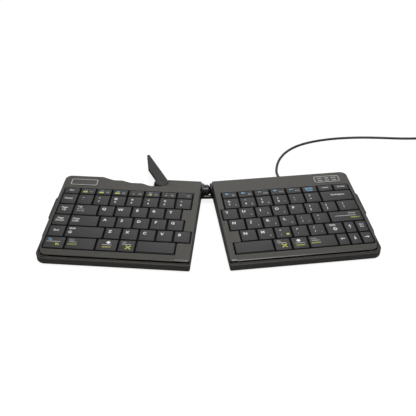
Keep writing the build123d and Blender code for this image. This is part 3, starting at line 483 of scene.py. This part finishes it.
LEGENDS = {
    "left_function_keys": [
        words(-0.5, 3.6, "Esc"),
        function("F1", "▪▪", "■■"),
        function("F2", "▪▪", "■■"),
        function("F3", "▬", "■■"),
        function("F4", "•", "=-"),
        function("F5", "▬•", "=■"),
        function("F6", "•", "=-"),
        function("F7"),
    ],
    "left_number_keys": [pair(upper, lower) for upper, lower in zip("~!@#$%^", "`123456")],
    "left_navigation_keys": [
        words(-0.6, 3.5, "Home"),
        words(-0.8, 3.7, "Page", "Up"),
        words(-0.8, 3.7, "Page", "Down"),
        words(-0.6, 3.6, "End"),
    ],
    "left_tab_key": [
        [
            (SOFT, "Tab", -7.2, 4.4, 3.7),
            (SOFT, "left_rule", -5.6, 0.6, 8.0),
            (SOFT, "right_rule", -5.6, -2.4, 8.0),
        ],
    ],
    "left_upper_keys": [letter(text) for text in "QWERT"],
    "left_caps_key": [words(-9.0, 3.6, "Caps", "Lock")],
    "left_middle_keys": [letter(text) for text in "ASDFG"],
    "left_shift_key": [shift(-13.4, 4.4, 3.7, -14.6, 5.4)],
    "left_lower_keys": [letter(text) for text in "ZXCVB"],
    "left_modifier_keys": [
        [(BLUE, "Fn", -5.0, 4.2, 4.0), (WHITE, "rule", -0.8, 1.0, 14.0), (LIME, "Fn", 3.6, -3.0, 4.0)],
        control(-8.4),
        option(1.0),
        ALT,
    ],
    "right_function_keys": [
        function("F8", "■▪"),
        function("F9", "■▪"),
        function("F10", "▬"),
        function("F11", "■▪"),
        function("F12", "▬▪"),
        [(BLUE, "print", -0.4, 1.5, 4.4), (BLUE, "lock", -0.4, -2.0, 4.0)],
        words(0, 3.0, "Insert"),
        words(0, 3.0, "Delete"),
    ],
    "right_number_keys": [
        pair("&", "7", "7"),
        pair("*", "8", "8"),
        pair("(", "9", "9"),
        pair(")", "0", "*"),
        pair("_", "-"),
        pair("+", "="),
    ],
    "right_backspace_key": [[(SOFT, "Backspace", 1.2, 1.4, 3.7)]],
    "right_upper_keys": [
        letter("Y"),
        letter_and_digit("U", "4"),
        letter_and_digit("I", "5"),
        letter_and_digit("O", "6"),
        letter_and_digit("P", "-"),
        pair("{", "["),
        pair("}", "]"),
    ],
    "right_backslash_key": [[(WHITE, "|", -4.4, 3.0, 3.6), (WHITE, "\\", -4.4, -2.4, 3.6)]],
    "right_middle_keys": [
        letter("H"),
        letter_and_digit("J", "1"),
        letter_and_digit("K", "2"),
        letter_and_digit("L", "3"),
        pair(":", ";", "+"),
        pair('"', "'"),
    ],
    "right_enter_key": [
        [(WHITE, "rule", -0.6, 0.4, 23.0), (GREY, "Enter", 7.6, 4.2, 3.6), (OLIVE, "return", 9.0, -2.6, 3.6)],
    ],
    "right_lower_keys": [
        letter("N"),
        letter_and_digit("M", "0"),
        pair("<", ",") + [(LIME, "■", 4.2, -3.6, 3.4)],
        pair(">", ".", "."),
        pair("?", "/", "/"),
    ],
    "right_shift_key": [shift(-1.6, 4.6, 3.6, -0.2, 6.4)],
    "right_arrow_keys": [arrow(90.0), words(0, 3.2, "Prt", "Scr"), arrow(180.0), arrow(270.0), arrow(0.0)],
    "right_modifier_keys": [ALT, option(-1.0), control(-7.6)],
}

# Key grid: places of the inner wall and of the rear edge, and rows, as shares of the pitch
PITCH = 18.0
WALL_SHARE = {LEFT: 8.40, RIGHT: -0.40}
REAR_SHARE = 0.87
FIRST_ROW_SHARE = 0.45
ROW_GAP_SHARE = 0.07

# Key caps, with a longer slope at the front of the space keys
KEY_GAP = 0.6
CAP_INSET = 0.8
SPACE_KEYS = ("left_space_key", "right_space_key")
SPACE_INSET = 2.0
CAP_TOP = 0.8
CAP_HEIGHT = 3.2
CAP_BEVEL = 0.55
CAP_BEVEL_STEPS = 3
CAP_TOP_SHARE = 0.55
PRINT_LIFT = 0.03


def key_cell(side, key):
    """Middle and size of a key's cell in the deck frame."""
    row, start, width = key
    rear = FIRST_ROW_SHARE if row == 1 else row - 1 + ROW_GAP_SHARE
    front = row + ROW_GAP_SHARE
    x = (start + width / 2 - WALL_SHARE[side]) * PITCH
    y = -((rear + front) / 2 + REAR_SHARE) * PITCH
    return x, y, width * PITCH, (front - rear) * PITCH


def cap(side, key, front):
    """Key cap: a block drawn in towards the top, with rounded edges and sides painted near-black as shade."""
    x, y, width, depth = key_cell(side, key)
    wide = width - KEY_GAP
    deep = depth - KEY_GAP
    item = block()
    item.scale = (wide * MM, deep * MM, CAP_HEIGHT * MM)
    bpy.ops.object.transform_apply(location=False, rotation=False, scale=True)
    pick_faces(item, lambda face: face.normal.z > FACING_SHARE)
    top = ((wide - 2 * CAP_INSET) / wide, (deep - CAP_INSET - front) / deep, 1)
    bpy.ops.transform.resize(value=top, center_override=(0, 0, 0))
    bpy.ops.transform.translate(value=(0, (front - CAP_INSET) / 2 * MM, 0))
    bpy.ops.mesh.select_more()
    bpy.ops.mesh.select_mode(type="EDGE")
    bpy.ops.mesh.bevel(offset=CAP_BEVEL * MM, segments=CAP_BEVEL_STEPS, affect="EDGES")
    bpy.ops.object.mode_set(mode="OBJECT")
    item.data.materials.append(keys)
    item.data.materials.append(painted_shade_key_sides)
    # Faces that don't face up take the painted shade of the key sides
    for face in item.data.polygons:
        face.material_index = 0 if face.normal.z > CAP_TOP_SHARE else 1
    put(item, deck(side) @ Matrix.Translation((x * MM, y * MM, (CAP_TOP - CAP_HEIGHT / 2) * MM)))
    return item


# Marks: lengths and widths of their lines in millimetres, and proportions as shares of their size
RULE_LINE = 0.45
TAB_LINE = 0.5
TAB_HEAD = 2.4
TAB_REACH_SHARE = 0.4
ARROW_LENGTH = 2.9
ARROW_LINE = 0.8
ARROW_BACK = 0.8
ARROW_HEAD = (3.4, 2.8)
SHIFT_HEAD_SHARE = 0.8
SHIFT_LINE_SHARE = 0.1
SHIFT_FOOT_SHARES = (0.46, 0.3)
SHIFT_DROP_SHARE = 0.22
CROSS_LINE_SHARE = 0.18
CROSS_SQUARE_SHARE = 0.2
CROSS_REACH_SHARE = 0.36
WEIGHT_SHARE = 0.035


def bar(width, height, x=0.0, y=0.0, turn=0.0):
    """Flat strip, in millimetres."""
    clear_choice()
    bpy.ops.mesh.primitive_plane_add(size=MM, location=(x * MM, y * MM, 0), rotation=(0, 0, turn))
    item = bpy.context.object
    item.scale = (width, height, 1)
    bpy.ops.object.transform_apply(location=True, rotation=True, scale=True)
    return item


def tip(corners, width, height, x=0.0, y=0.0, turn=0.0):
    """Flat triangle or diamond with a corner that points along y before it is turned."""
    clear_choice()
    place = (x * MM, y * MM, 0)
    bpy.ops.mesh.primitive_circle_add(vertices=corners, radius=MM / 2, fill_type="NGON", location=place)
    item = bpy.context.object
    item.scale = (width, height, 1)
    item.rotation_euler = (0, 0, turn)
    bpy.ops.object.transform_apply(location=True, rotation=True, scale=True)
    return item


def hollow(item, line):
    """Leave only a line of even width along the edge of a flat shape."""
    pick_faces(item, lambda face: True)
    bpy.ops.mesh.inset(thickness=line * MM, use_boundary=True)
    bpy.ops.mesh.delete(type="FACE")
    bpy.ops.object.mode_set(mode="OBJECT")
    return item


def rule_mark(size):
    return bar(size, RULE_LINE)


def tab_mark(size, way):
    """Rule with an arrow head that points to one side."""
    head = tip(3, TAB_HEAD, TAB_HEAD, way * size * TAB_REACH_SHARE, 0, -way * pi / 2)
    return joined([bar(size, TAB_LINE), head], "mark")


def arrow_mark(degrees):
    """Arrow of a cursor key, which points along x before it is turned."""
    head = tip(3, *ARROW_HEAD, ARROW_HEAD[1] / 2, 0, -pi / 2)
    item = joined([bar(ARROW_LENGTH, ARROW_LINE, -ARROW_BACK), head], "mark")
    item.rotation_euler = (0, 0, radians(degrees))
    choose([item])
    bpy.ops.object.transform_apply(location=False, rotation=True, scale=False)
    return item


def shift_mark(size):
    """Hollow arrow that points away from the user."""
    line = size * SHIFT_LINE_SHARE
    wide, deep = [size * share for share in SHIFT_FOOT_SHARES]
    head = hollow(tip(3, size, size * SHIFT_HEAD_SHARE, 0, line), line)
    foot = hollow(bar(wide, deep, 0, -size * SHIFT_DROP_SHARE), line)
    return joined([head, foot], "mark")


def cross_mark(size):
    """Two crossed bars with a square near each end."""
    pieces = [bar(size, size * CROSS_LINE_SHARE, 0, 0, turn) for turn in (pi / 4, -pi / 4)]
    square = size * CROSS_SQUARE_SHARE
    reach = size * CROSS_REACH_SHARE
    for x in (-reach, reach):
        for y in (-reach, reach):
            pieces.append(bar(square, square, x, y))
    return joined(pieces, "mark")


def text_mark(text, size):
    """Lettering as a flat mesh, centred on the origin."""
    clear_choice()
    bpy.ops.object.text_add(location=(0, 0, 0))
    item = bpy.context.object
    item.data.body = text
    item.data.size = size * MM
    item.data.align_x = "CENTER"
    item.data.align_y = "CENTER"
    item.data.offset = WEIGHT_SHARE * size * MM
    item.data.resolution_u = 3
    bpy.ops.object.convert(target="MESH")
    return bpy.context.object


DRAWN = {
    "rule": rule_mark,
    "left_rule": lambda size: tab_mark(size, LEFT),
    "right_rule": lambda size: tab_mark(size, RIGHT),
    "arrow": arrow_mark,
    "shift_arrow": shift_mark,
    "diamond": lambda size: tip(4, size, size),
    "cross": cross_mark,
}


def printed(side, x, y, z, ink, text, size):
    """A mark or a text printed on the deck or on a key."""
    item = DRAWN[text](size) if text in DRAWN else text_mark(text, size)
    put(item, deck(side) @ Matrix.Translation((x * MM, y * MM, z * MM)))
    item.data.materials.clear()
    item.data.materials.append(ink)
    return item


for node, cells in KEYS.items():
    side = LEFT if node.startswith("left") else RIGHT
    front = SPACE_INSET if node in SPACE_KEYS else CAP_INSET
    caps = joined([cap(side, key, front) for key in cells], node + "_caps")
    smooth(caps)
    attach(caps, node)
    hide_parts(node)
    marks = []
    for key, legend in zip(cells, LEGENDS.get(node, [])):
        x, y, _, _ = key_cell(side, key)
        for ink, text, dx, dy, size in legend:
            marks.append(printed(side, x + dx, y + dy, CAP_TOP + PRINT_LIFT, ink, text, size))
    if marks:
        legends = joined(marks, node + "_legends")
        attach(legends, node)

# Badge plate and indicator panel: places on the key grid, sizes and outlines in millimetres
BADGE_SHARE = 1.10
PANEL_SHARE = 6.85
PLATE_ROW_SHARE = -0.15
PLATE_NUDGE = 0.8
BADGE_X = (BADGE_SHARE - WALL_SHARE[LEFT]) * PITCH - PLATE_NUDGE
PANEL_X = (PANEL_SHARE - WALL_SHARE[RIGHT]) * PITCH
PLATE_Y = -(PLATE_ROW_SHARE + REAR_SHARE) * PITCH + PLATE_NUDGE
BADGE_SIZE = (30.4, 11.2, 0.5)
BADGE_SINK = 0.1
BADGE_OUTLINE = (29.8, 10.6)
PANEL_OUTLINE = (28.6, 11.2)
PLATE_CORNER = 2.2
PLATE_CORNER_STEPS = 6
BADGE_LINE = 0.7
PANEL_LINE = 0.65
PLATE_PRINT_HEIGHT = 0.19
PANEL_WORDS = ("num", "caps", "scroll")
PANEL_WORD_SIZE = 2.6
PANEL_STEP = 8.0
PANEL_UPPER = 2.2
PANEL_LOWER = -2.4


def plate_outline(side, x, size, line, name, body):
    """Thin rounded outline round a plate."""
    item = bar(*size)
    item.name = name
    pick_faces(item, lambda face: True)
    bpy.ops.mesh.bevel(offset=PLATE_CORNER * MM, segments=PLATE_CORNER_STEPS, affect="VERTICES")
    bpy.ops.object.mode_set(mode="OBJECT")
    hollow(item, line)
    item.data.materials.append(soft_ink)
    put(item, deck(side) @ Matrix.Translation((x * MM, PLATE_Y * MM, PLATE_PRINT_HEIGHT * MM)))
    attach(item, body)


badge = block()
badge.name = "badge_cover"
badge.scale = [length * MM for length in BADGE_SIZE]
bpy.ops.object.transform_apply(location=False, rotation=False, scale=True)
pick_upright_edges(badge)
bpy.ops.mesh.bevel(offset=PLATE_CORNER * MM, segments=PLATE_CORNER_STEPS, affect="EDGES")
bpy.ops.object.mode_set(mode="OBJECT")
put(badge, deck(LEFT) @ Matrix.Translation((BADGE_X * MM, PLATE_Y * MM, -BADGE_SINK * MM)))
badge.data.materials.append(trim)
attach(badge, "left_half")
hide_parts("badge_plate")
plate_outline(LEFT, BADGE_X, BADGE_OUTLINE, BADGE_LINE, "badge_outline", "left_half")
plate_outline(RIGHT, PANEL_X, PANEL_OUTLINE, PANEL_LINE, "panel_outline", "right_half")

notes = []
for index, text in enumerate(PANEL_WORDS):
    x = PANEL_X + (index - 1) * PANEL_STEP
    for note, y in ((text, PLATE_Y + PANEL_UPPER), ("lock", PLATE_Y + PANEL_LOWER)):
        notes.append(printed(RIGHT, x, y, PLATE_PRINT_HEIGHT, soft_ink, note, PANEL_WORD_SIZE))
panel_marks = joined(notes, "panel_marks")
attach(panel_marks, "right_half")

# Collars round the hinge, past the inner walls, are black, unlike the rest of the shells
COLLAR_MARGIN = 0.05
for side, half in HALVES:
    to_level = level(side).inverted()
    for name in (half + "_top_shell", half + "_bottom_shell"):
        mesh = frame["nodes"][name].data
        mesh.materials.append(barrel_plastic)
        for face in mesh.polygons:
            if side * (to_level @ face.center).x < -COLLAR_MARGIN * MM:
                face.material_index = 1

# Front of the upper shell: it ends in a lip, with a real undercut gap whose faces are painted near-black as
# shade, and the sloping nose of the case before it.
# Each bar has an inner and an outer edge, from the lip forwards, and a low and a high one, from the deck.
LIP_INSET = 4.3
FRONT_CUT = (0, 6, -2.9, 3)
GAP_CUT = (-0.6, 1.8, -3.6, -1.75)
NOSE = (0.8, 3.0, -3.6, -2.9)
CUT_START = -2.0
NOSE_START = 1.0
CORNER_STEPS = 8
# Steps outwards and back, in which a cut leaves the case at its side
WAY_OUT = ((1.7, 10.3), (1.4, 8.0), (1.8, 8.0))

# Slanted edge of the lip, from the inner wall: wide along the flat corner, narrow along the ridge
SLANT = 35
SLANT_START = 2
FLAT_STOP = {LEFT: 18, RIGHT: 8}
FLAT_SLANT_WIDTH = 1.7
RIDGE_SLANT_WIDTH = {LEFT: 0.3, RIGHT: 0.8}
RIDGE_HEIGHT = -1.13
SLANT_TOOL_DEPTH = 6
SLANT_TOOL_HEIGHT = 3
CUT_SMOOTH_ANGLE = 25


def rail(side, edges, look, start=CUT_START, leaves=True):
    """Bar that runs along the front edge and round the outer corner, and can leave the case at its side."""
    inner, outer, low, high = edges
    item = block()
    front = -CASE_DEPTH + LIP_INSET
    stop = CASE_WIDTH - CASE_CORNER
    item.scale = ((stop - start) * MM, (outer - inner) * MM, (high - low) * MM)
    y = front - (inner + outer) / 2
    item.location = (side * (start + stop) / 2 * MM, y * MM, (low + high) / 2 * MM)
    bpy.ops.object.transform_apply(location=True, rotation=False, scale=True)
    pick_faces(item, lambda face: side * face.normal.x > FACING_SHARE)
    centre = (side * stop * MM, (-CASE_DEPTH + CASE_CORNER) * MM, 0)
    turn = -side * pi / 2 / CORNER_STEPS
    for step in range(CORNER_STEPS):
        bpy.ops.mesh.extrude_region_move()
        bpy.ops.transform.rotate(value=turn, orient_axis="Z", center_override=centre)
    for outward, back in WAY_OUT if leaves else ():
        move = {"value": (side * outward * MM, back * MM, 0)}
        bpy.ops.mesh.extrude_region_move(TRANSFORM_OT_translate=move)
    bpy.ops.mesh.select_all(action="SELECT")
    bpy.ops.mesh.remove_doubles(threshold=MERGE_DISTANCE * MM)
    bpy.ops.mesh.normals_make_consistent(inside=False)
    bpy.ops.object.mode_set(mode="OBJECT")
    item.data.materials.append(look)
    put(item, deck(side))
    return item


def slanted(side, start, stop, width, top):
    """Tool for a stretch of the slanted edge, of a width and with its upper line at a height."""
    clear_choice()
    tilt = radians(SLANT)
    half_height = SLANT_TOOL_HEIGHT / 2
    y = -CASE_DEPTH + LIP_INSET + width / 2 * cos(tilt) - half_height * sin(tilt)
    z = top - width / 2 * sin(tilt) + half_height * cos(tilt)
    place = (side * (start + stop) / 2 * MM, y * MM, z * MM)
    bpy.ops.mesh.primitive_cube_add(size=1, location=place, rotation=(tilt, 0, 0))
    item = bpy.context.object
    item.scale = ((stop - start) * MM, SLANT_TOOL_DEPTH * MM, SLANT_TOOL_HEIGHT * MM)
    bpy.ops.object.transform_apply(location=True, rotation=True, scale=True)
    item.data.materials.append(case_edge)
    put(item, deck(side))
    return item


def cut_away(item, tool):
    """Cut a tool out of a piece, whose new faces take the tool's look."""
    choose([item])
    cut = item.modifiers.new("cut", "BOOLEAN")
    cut.operation = "DIFFERENCE"
    cut.solver = "EXACT"
    cut.object = tool
    cut.material_mode = "TRANSFER"
    bpy.ops.object.modifier_apply(modifier="cut")
    bpy.data.objects.remove(tool)


def merged_copy(name):
    """Copy of a piece of the frame, with its loose triangles merged."""
    piece = frame["nodes"][name].copy()
    piece.data = piece.data.copy()
    piece.name = name + "_cut"
    bpy.context.scene.collection.objects.link(piece)
    choose([piece])
    bpy.ops.object.mode_set(mode="EDIT")
    bpy.ops.mesh.select_all(action="SELECT")
    bpy.ops.mesh.remove_doubles(threshold=MERGE_DISTANCE * MM)
    bpy.ops.object.mode_set(mode="OBJECT")
    return piece


def shade_edges_flat(item):
    """Flat shading on the slanted edges, so that each mirrors the light as one face."""
    edge = item.data.materials.find("case_edge")
    pick_faces(item, lambda face: face.material_index == edge)
    bpy.ops.mesh.faces_shade_flat()
    bpy.ops.object.mode_set(mode="OBJECT")


# The screws stand in the gap, so they are cut with the shell
for side, half in HALVES:
    for kind, slot in (("top_shell", "case"), ("screws", "steel")):
        piece = merged_copy(half + "_" + kind)
        cut_away(piece, rail(side, FRONT_CUT, case))
        # The undercut is real; the faces it leaves are painted near-black as shade
        cut_away(piece, rail(side, GAP_CUT, gap_painted_shade))
        if kind == "top_shell":
            middle = FLAT_STOP[side]
            stop = CASE_WIDTH - CASE_CORNER
            cut_away(piece, slanted(side, SLANT_START, middle, FLAT_SLANT_WIDTH, 0))
            cut_away(piece, slanted(side, middle, stop, RIDGE_SLANT_WIDTH[side], RIDGE_HEIGHT))
        smooth(piece, CUT_SMOOTH_ANGLE)
        if kind == "top_shell":
            shade_edges_flat(piece)
        piece.modifiers.new("flat_faces", "WEIGHTED_NORMAL").keep_sharp = True
        bpy.ops.object.modifier_apply(modifier="flat_faces")
        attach(piece, half + "_half")
        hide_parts(half + "_" + kind)
    nose = rail(side, NOSE, case, NOSE_START, False)
    nose.name = half + "_nose"
    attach(nose, half + "_half")

# Floor: its tone keeps the shadow, and a glow that only the camera sees makes it white
FLOOR_SIZE = 14
FLOOR_TONE = 0.22
FLOOR_ROUGHNESS = 0.9
FLOOR_GLOW = 0.85

bpy.ops.mesh.primitive_plane_add(size=FLOOR_SIZE, location=(0, 0, 0))
floor = bpy.context.object
floor.name = "floor"
ground = bpy.data.materials.new("ground")
ground.use_nodes = True
tree = ground.node_tree
shader = tree.nodes["Principled BSDF"]
shader.inputs["Base Color"].default_value = (FLOOR_TONE, FLOOR_TONE, FLOOR_TONE, 1)
shader.inputs["Roughness"].default_value = FLOOR_ROUGHNESS
shader.inputs["Specular IOR Level"].default_value = 0
glow = tree.nodes.new("ShaderNodeEmission")
glow.inputs["Color"].default_value = (1, 1, 1, 1)
path = tree.nodes.new("ShaderNodeLightPath")
dimmed = tree.nodes.new("ShaderNodeMath")
dimmed.operation = "MULTIPLY"
dimmed.inputs[1].default_value = FLOOR_GLOW
tree.links.new(path.outputs["Is Camera Ray"], dimmed.inputs[0])
tree.links.new(dimmed.outputs[0], glow.inputs["Strength"])
total = tree.nodes.new("ShaderNodeAddShader")
tree.links.new(shader.outputs[0], total.inputs[0])
tree.links.new(glow.outputs[0], total.inputs[1])
tree.links.new(total.outputs[0], tree.nodes["Material Output"].inputs["Surface"])
floor.data.materials.append(ground)

# World: white behind the object and through clear pieces, and a weaker fill light on the object
WORLD_FILL = 0.23
WORLD_SEEN = 1.0

world = bpy.data.worlds.new("studio")
bpy.context.scene.world = world
world.use_nodes = True
tree = world.node_tree
background = tree.nodes["Background"]
background.inputs["Color"].default_value = (1, 1, 1, 1)
path = tree.nodes.new("ShaderNodeLightPath")
seen = tree.nodes.new("ShaderNodeMath")
seen.operation = "MAXIMUM"
tree.links.new(path.outputs["Is Camera Ray"], seen.inputs[0])
tree.links.new(path.outputs["Is Transmission Ray"], seen.inputs[1])
strength = tree.nodes.new("ShaderNodeMapRange")
strength.inputs["To Min"].default_value = WORLD_FILL
strength.inputs["To Max"].default_value = WORLD_SEEN
tree.links.new(seen.outputs[0], strength.inputs["Value"])
tree.links.new(strength.outputs["Result"], background.inputs["Strength"])

# Lamps: place and size in metres, power in watts. The rear one gives the decks and keys their sheen.
LAMPS = {
    "main_light": ((0.1, -0.45, 1.5), 0.8, 17),
    "rear_light": ((0.1, 1.35, 1.0), 1.1, 6.0),
}
for name, (place, size, power) in LAMPS.items():
    clear_choice()
    bpy.ops.object.light_add(type="AREA", location=place)
    lamp = bpy.context.object
    lamp.name = name
    lamp.data.size = size
    lamp.data.energy = power
    lamp.rotation_euler = (-Vector(place)).to_track_quat("-Z", "Y").to_euler()

bpy.context.scene.view_settings.view_transform = "Standard"
